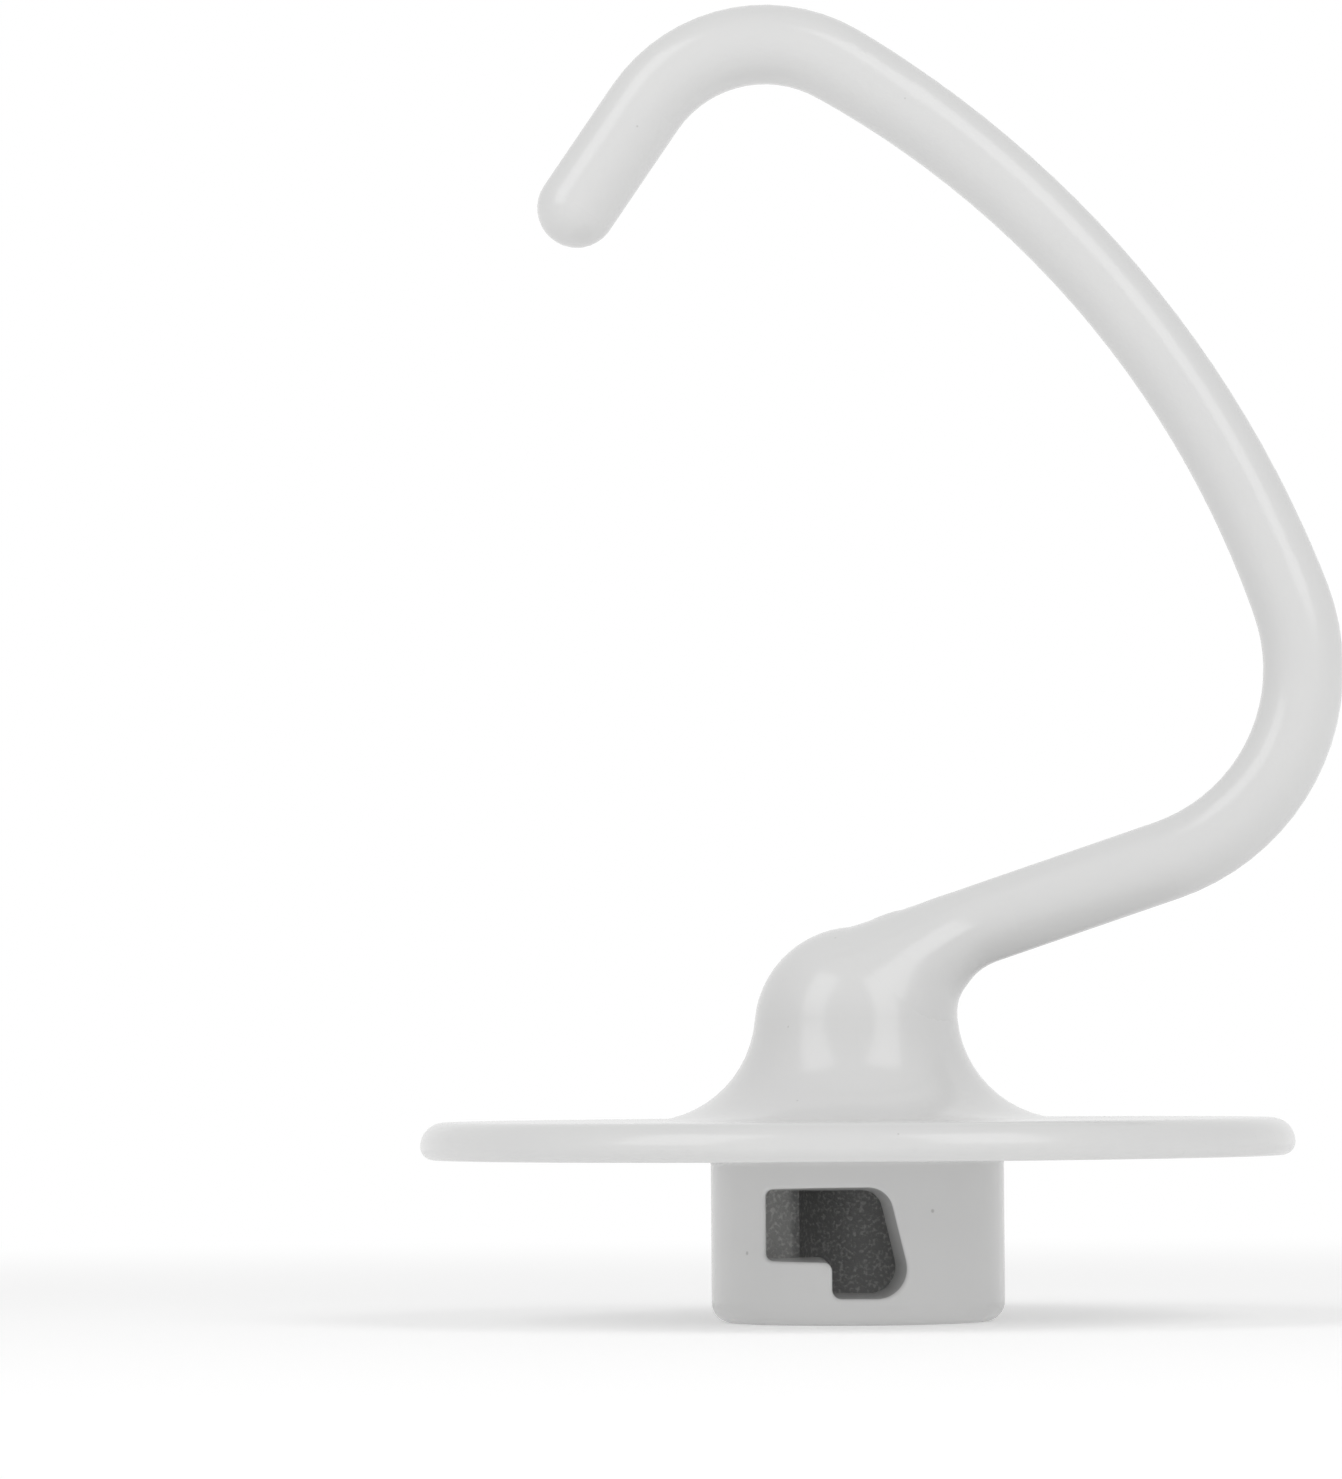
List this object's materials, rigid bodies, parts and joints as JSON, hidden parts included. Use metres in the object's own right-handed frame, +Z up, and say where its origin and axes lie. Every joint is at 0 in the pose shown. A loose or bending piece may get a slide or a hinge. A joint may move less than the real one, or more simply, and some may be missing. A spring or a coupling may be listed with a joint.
{
  "type": "stand mixer dough hook",
  "caption": "Cast dough hook: a bent round arm on a round-crowned neck, a flat round shield, and a bayonet hub that locks onto a stand mixer's drive shaft.",
  "frame": {"origin": "on the hub's axis, at its open end face", "axes": "+Z up the hub's axis towards the hook, +X towards the side the arm leaves the neck, -Y the side the hub's window looks"},
  "size_m": [0.1019, 0.096, 0.1454],
  "materials": {
    "white_coat": "gloss"
  },
  "bodies": {
    "root": {"dough_hook": "white_coat"}
  },
  "joints": []
}
